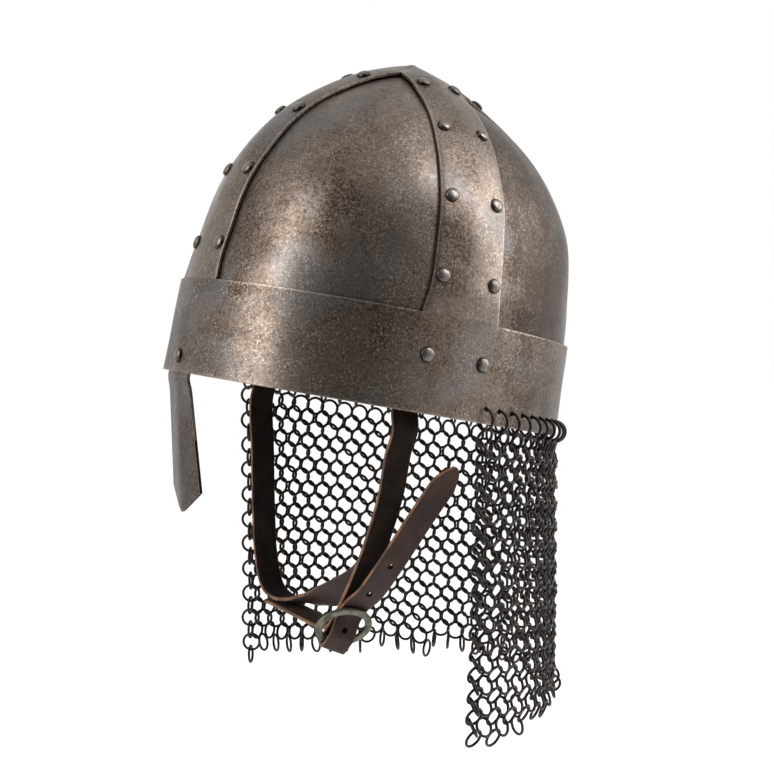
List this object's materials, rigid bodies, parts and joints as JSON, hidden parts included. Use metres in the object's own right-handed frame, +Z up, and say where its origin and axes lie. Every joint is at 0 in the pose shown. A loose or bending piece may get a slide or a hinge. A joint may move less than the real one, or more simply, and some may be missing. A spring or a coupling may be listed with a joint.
{
  "type": "spangenhelm helmet",
  "caption": "Riveted segmented steel helmet with a brow band, crossed frame strips, keeled nasal guard, hanging mail neck curtain and buckled leather chin strap.",
  "frame": {"origin": "centre of the brow band's lower rim, where the wearer's head enters; a head holds the helmet up there", "axes": "+Z up, -Y to the wearer's face, +X to the wearer's left; the shell is tipped back eleven degrees about X, as shown, and mail and straps hang along -Z"},
  "size_m": [0.2169, 0.2511, 0.3866],
  "materials": {
    "band_steel": "aged steel, brushed along the band, brown patina with worn bright edges",
    "strip_steel": "aged steel, brushed up the strips",
    "plate_steel": "aged steel, darker, brushed towards the apex",
    "rivet_steel": "dark domed heads with worn tops",
    "mail_steel": "blackened round wire rings",
    "buckle_metal": "dull grey cast metal",
    "strap_leather": "dark brown leather with lighter raw edges"
  },
  "bodies": {
    "root": {"brow_band": "band_steel", "spangen_front": "strip_steel", "spangen_left": "strip_steel", "spangen_back": "strip_steel", "spangen_right": "strip_steel", "plate_front_left": "plate_steel", "plate_front_right": "plate_steel", "plate_back_left": "plate_steel", "plate_back_right": "plate_steel", "nasal_guard": "band_steel", "mail_aventail": "mail_steel", "buckle": "buckle_metal", "strap_left": "strap_leather", "strap_right": "strap_leather", "rivet_front_1a": "rivet_steel", "rivet_front_1b": "rivet_steel", "rivet_front_2a": "rivet_steel", "rivet_front_2b": "rivet_steel", "rivet_front_3a": "rivet_steel", "rivet_front_3b": "rivet_steel", "rivet_front_4a": "rivet_steel", "rivet_front_4b": "rivet_steel", "rivet_left_1a": "rivet_steel", "rivet_left_1b": "rivet_steel", "rivet_left_2a": "rivet_steel", "rivet_left_2b": "rivet_steel", "rivet_left_3a": "rivet_steel", "rivet_left_3b": "rivet_steel", "rivet_left_4a": "rivet_steel", "rivet_left_4b": "rivet_steel", "rivet_left_5a": "rivet_steel", "rivet_left_5b": "rivet_steel", "rivet_back_1a": "rivet_steel", "rivet_back_1b": "rivet_steel", "rivet_back_2a": "rivet_steel", "rivet_back_2b": "rivet_steel", "rivet_back_3a": "rivet_steel", "rivet_back_3b": "rivet_steel", "rivet_back_4a": "rivet_steel", "rivet_back_4b": "rivet_steel", "rivet_back_5a": "rivet_steel", "rivet_back_5b": "rivet_steel", "rivet_right_1a": "rivet_steel", "rivet_right_1b": "rivet_steel", "rivet_right_2a": "rivet_steel", "rivet_right_2b": "rivet_steel", "rivet_right_3a": "rivet_steel", "rivet_right_3b": "rivet_steel", "rivet_right_4a": "rivet_steel", "rivet_right_4b": "rivet_steel", "rivet_right_5a": "rivet_steel", "rivet_right_5b": "rivet_steel", "rivet_nasal": "rivet_steel"}
  },
  "joints": []
}
